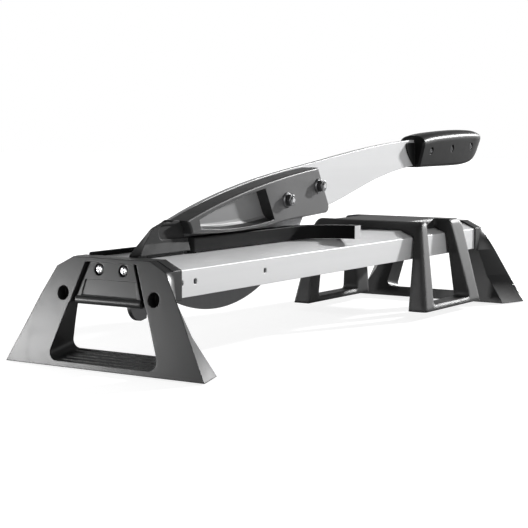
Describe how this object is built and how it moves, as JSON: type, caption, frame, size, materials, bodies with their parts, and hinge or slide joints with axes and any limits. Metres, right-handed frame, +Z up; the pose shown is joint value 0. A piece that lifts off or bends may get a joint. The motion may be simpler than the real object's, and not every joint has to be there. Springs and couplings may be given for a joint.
{
  "type": "laminate flooring cutter",
  "caption": "Bench-top flooring cutter: a long lever brings a guillotine blade down through the slot between rails on moulded feet, with a swing-out fence and a lift-off plank support.",
  "frame": {"origin": "on the floor, below the middle of the whole length from the left foot to the end of the grip", "axes": "+X along the rails towards the grip, +Y from the fence's rail to the other rail, +Z up"},
  "size_m": [0.6839, 0.2, 0.1868],
  "materials": {
    "foot_plastic": "satin moulded black plastic",
    "pad_rubber": "matt black rubber",
    "rail_aluminium": "silver anodised extrusion",
    "black_plastic": "black plastic",
    "bracket_coat": "black powder coat",
    "arm_metal": "light silver, matt",
    "blade_steel": "dark hardened steel",
    "cover_plastic": "grey moulded plastic with a fine grain",
    "grip_plastic": "glossy black moulded plastic",
    "support_plastic": "satin black plastic",
    "zinc_steel": "bright zinc plated",
    "bush_bronze": "sintered bronze"
  },
  "bodies": {
    "base": {"bracket_screws": "zinc_steel", "counter_blade": "blade_steel", "counter_blade_screws": "zinc_steel", "fence_nut": "zinc_steel", "fence_screw": "zinc_steel", "fence_washer": "black_plastic", "front_rail": "rail_aluminium", "left_foot": "foot_plastic", "left_foot_pads": "pad_rubber", "left_foot_screws": "zinc_steel", "pivot_bolt": "zinc_steel", "pivot_bracket": "bracket_coat", "pivot_nut": "zinc_steel", "rail_plugs": "black_plastic", "rear_rail": "rail_aluminium", "rear_strip": "black_plastic", "right_foot": "foot_plastic", "right_foot_pads": "pad_rubber", "right_foot_screws": "zinc_steel", "stop_pin": "zinc_steel", "thrust_washers": "zinc_steel"},
    "lever": {"blade": "blade_steel", "lever_arm": "arm_metal", "pivot_bush": "bush_bronze", "front_cover": "cover_plastic", "rear_cover": "cover_plastic", "cover_bolts": "zinc_steel", "cover_nuts": "zinc_steel", "grip_front": "grip_plastic", "grip_rear": "grip_plastic", "grip_screws": "zinc_steel"},
    "fence": {"mitre_fence": "black_plastic"},
    "support": {"plank_support": "support_plastic"}
  },
  "joints": [
    {"name": "lever_hinge", "type": "hinge", "parent": "base", "child": "lever", "pos_m": [-0.26, 0, 0.1025], "axis": [0, -1, 0], "range_deg": [0, 55]},
    {"name": "fence_swivel", "type": "hinge", "parent": "base", "child": "fence", "pos_m": [-0.2367, -0.0104, 0.0936], "axis": [0, 0, -1], "range_deg": [0, 90]},
    {"name": "support_lift", "type": "slide", "parent": "base", "child": "support", "axis": [0, 0, 1], "range_m": [0, 0.03]}
  ]
}
